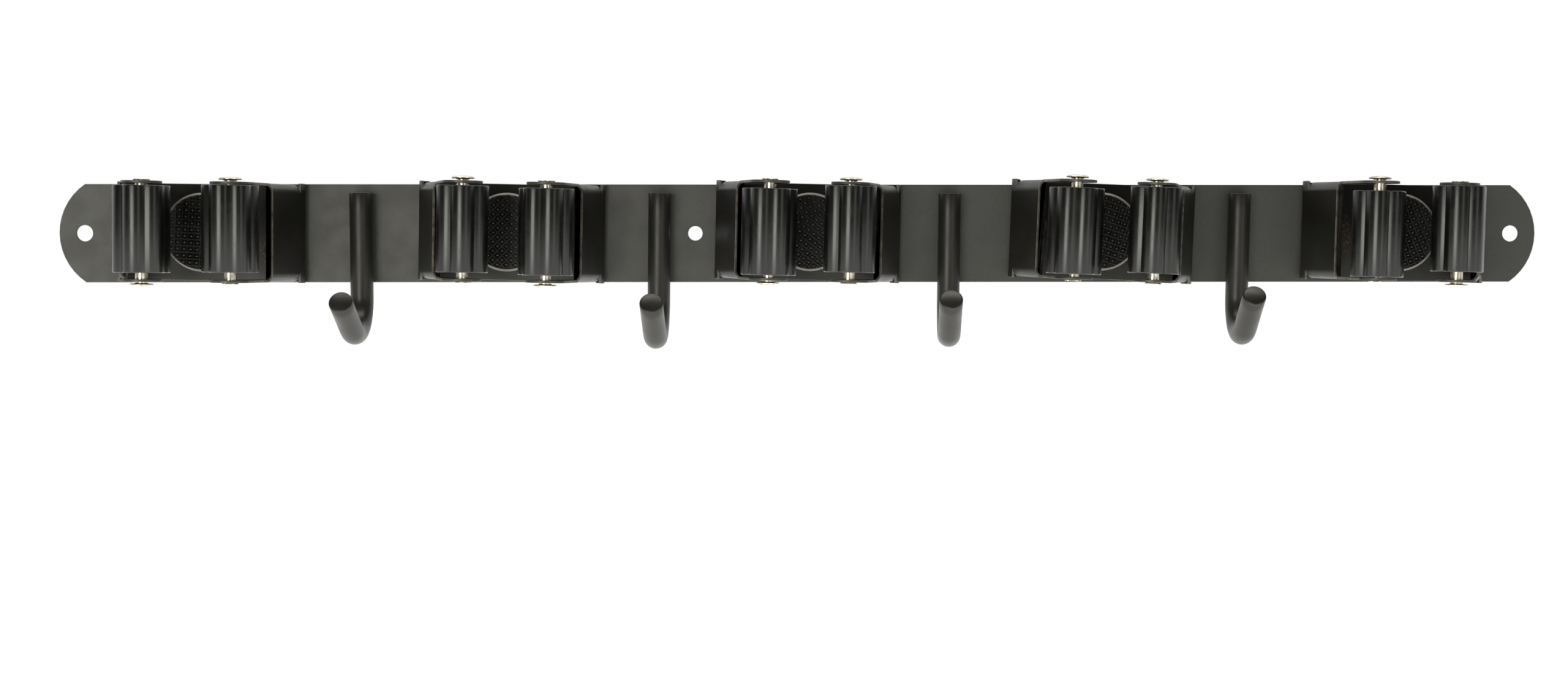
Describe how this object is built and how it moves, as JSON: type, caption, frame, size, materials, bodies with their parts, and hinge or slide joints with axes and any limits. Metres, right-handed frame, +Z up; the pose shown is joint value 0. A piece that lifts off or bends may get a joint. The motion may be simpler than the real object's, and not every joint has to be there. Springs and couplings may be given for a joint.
{
  "type": "garden tool rack",
  "caption": "Wall strip with sprung roller clips that grip tool handles and round rod hooks between them.",
  "frame": {"origin": "centre of the strip's back face, on the wall", "axes": "+X along the strip, to the right as seen from the front; +Y into the wall; +Z up"},
  "size_m": [0.5, 0.0439, 0.0573],
  "materials": {
    "strip_paint": "satin dark grey powder coat with fine dust",
    "clip_paint": "smooth dark grey coat on spring steel, glossy at the bends",
    "hook_paint": "satin dark grey coat on round rod",
    "roller_rubber": "smooth bluish black rubber with a soft shine",
    "pad_rubber": "matt rubber with small round studs in a square net",
    "pin_nickel": "bright nickel plate, slightly warm"
  },
  "bodies": {
    "rack": {"back_plate": "strip_paint", "hook_1": "hook_paint", "hook_2": "hook_paint", "hook_3": "hook_paint", "hook_4": "hook_paint", "clip_1": "clip_paint", "clip_2": "clip_paint", "clip_3": "clip_paint", "clip_4": "clip_paint", "clip_5": "clip_paint", "pad_1": "pad_rubber", "pad_2": "pad_rubber", "pad_3": "pad_rubber", "pad_4": "pad_rubber", "pad_5": "pad_rubber", "left_pin_1": "pin_nickel", "right_pin_1": "pin_nickel", "left_pin_2": "pin_nickel", "right_pin_2": "pin_nickel", "left_pin_3": "pin_nickel", "right_pin_3": "pin_nickel", "left_pin_4": "pin_nickel", "right_pin_4": "pin_nickel", "left_pin_5": "pin_nickel", "right_pin_5": "pin_nickel"},
    "left_roller_1": {"left_roller_1": "roller_rubber"},
    "right_roller_1": {"right_roller_1": "roller_rubber"},
    "left_roller_2": {"left_roller_2": "roller_rubber"},
    "right_roller_2": {"right_roller_2": "roller_rubber"},
    "left_roller_3": {"left_roller_3": "roller_rubber"},
    "right_roller_3": {"right_roller_3": "roller_rubber"},
    "left_roller_4": {"left_roller_4": "roller_rubber"},
    "right_roller_4": {"right_roller_4": "roller_rubber"},
    "left_roller_5": {"left_roller_5": "roller_rubber"},
    "right_roller_5": {"right_roller_5": "roller_rubber"}
  },
  "joints": [
    {"name": "left_roller_1_spin", "type": "hinge", "parent": "rack", "child": "left_roller_1", "pos_m": [-0.21281, -0.03488, 0.00047], "axis": [0.0122, 0, 0.9999], "continuous": true},
    {"name": "right_roller_1_spin", "type": "hinge", "parent": "rack", "child": "right_roller_1", "pos_m": [-0.18457, -0.03471, 0.00013], "axis": [0.0122, 0, 0.9999], "continuous": true},
    {"name": "left_roller_2_spin", "type": "hinge", "parent": "rack", "child": "left_roller_2", "pos_m": [-0.11044, -0.03386, 0.00061], "axis": [0.0209, 0, 0.9998], "continuous": true},
    {"name": "right_roller_2_spin", "type": "hinge", "parent": "rack", "child": "right_roller_2", "pos_m": [-0.08341, -0.03509, 0.00004], "axis": [0.0209, 0, 0.9998], "continuous": true},
    {"name": "left_roller_3_spin", "type": "hinge", "parent": "rack", "child": "left_roller_3", "pos_m": [-0.01146, -0.03413, 0.00081], "axis": [0.0244, 0, 0.9997], "continuous": true},
    {"name": "right_roller_3_spin", "type": "hinge", "parent": "rack", "child": "right_roller_3", "pos_m": [0.01469, -0.03445, 0.00017], "axis": [0.0244, 0, 0.9997], "continuous": true},
    {"name": "left_roller_4_spin", "type": "hinge", "parent": "rack", "child": "left_roller_4", "pos_m": [0.08804, -0.03419, 0.00112], "axis": [0.0401, 0, 0.9992], "continuous": true},
    {"name": "right_roller_4_spin", "type": "hinge", "parent": "rack", "child": "right_roller_4", "pos_m": [0.11407, -0.03435, 0.00007], "axis": [0.0401, 0, 0.9992], "continuous": true},
    {"name": "left_roller_5_spin", "type": "hinge", "parent": "rack", "child": "left_roller_5", "pos_m": [0.18728, -0.03422, 0.00072], "axis": [0.0244, 0, 0.9997], "continuous": true},
    {"name": "right_roller_5_spin", "type": "hinge", "parent": "rack", "child": "right_roller_5", "pos_m": [0.21349, -0.0344, 0.00007], "axis": [0.0244, 0, 0.9997], "continuous": true}
  ]
}
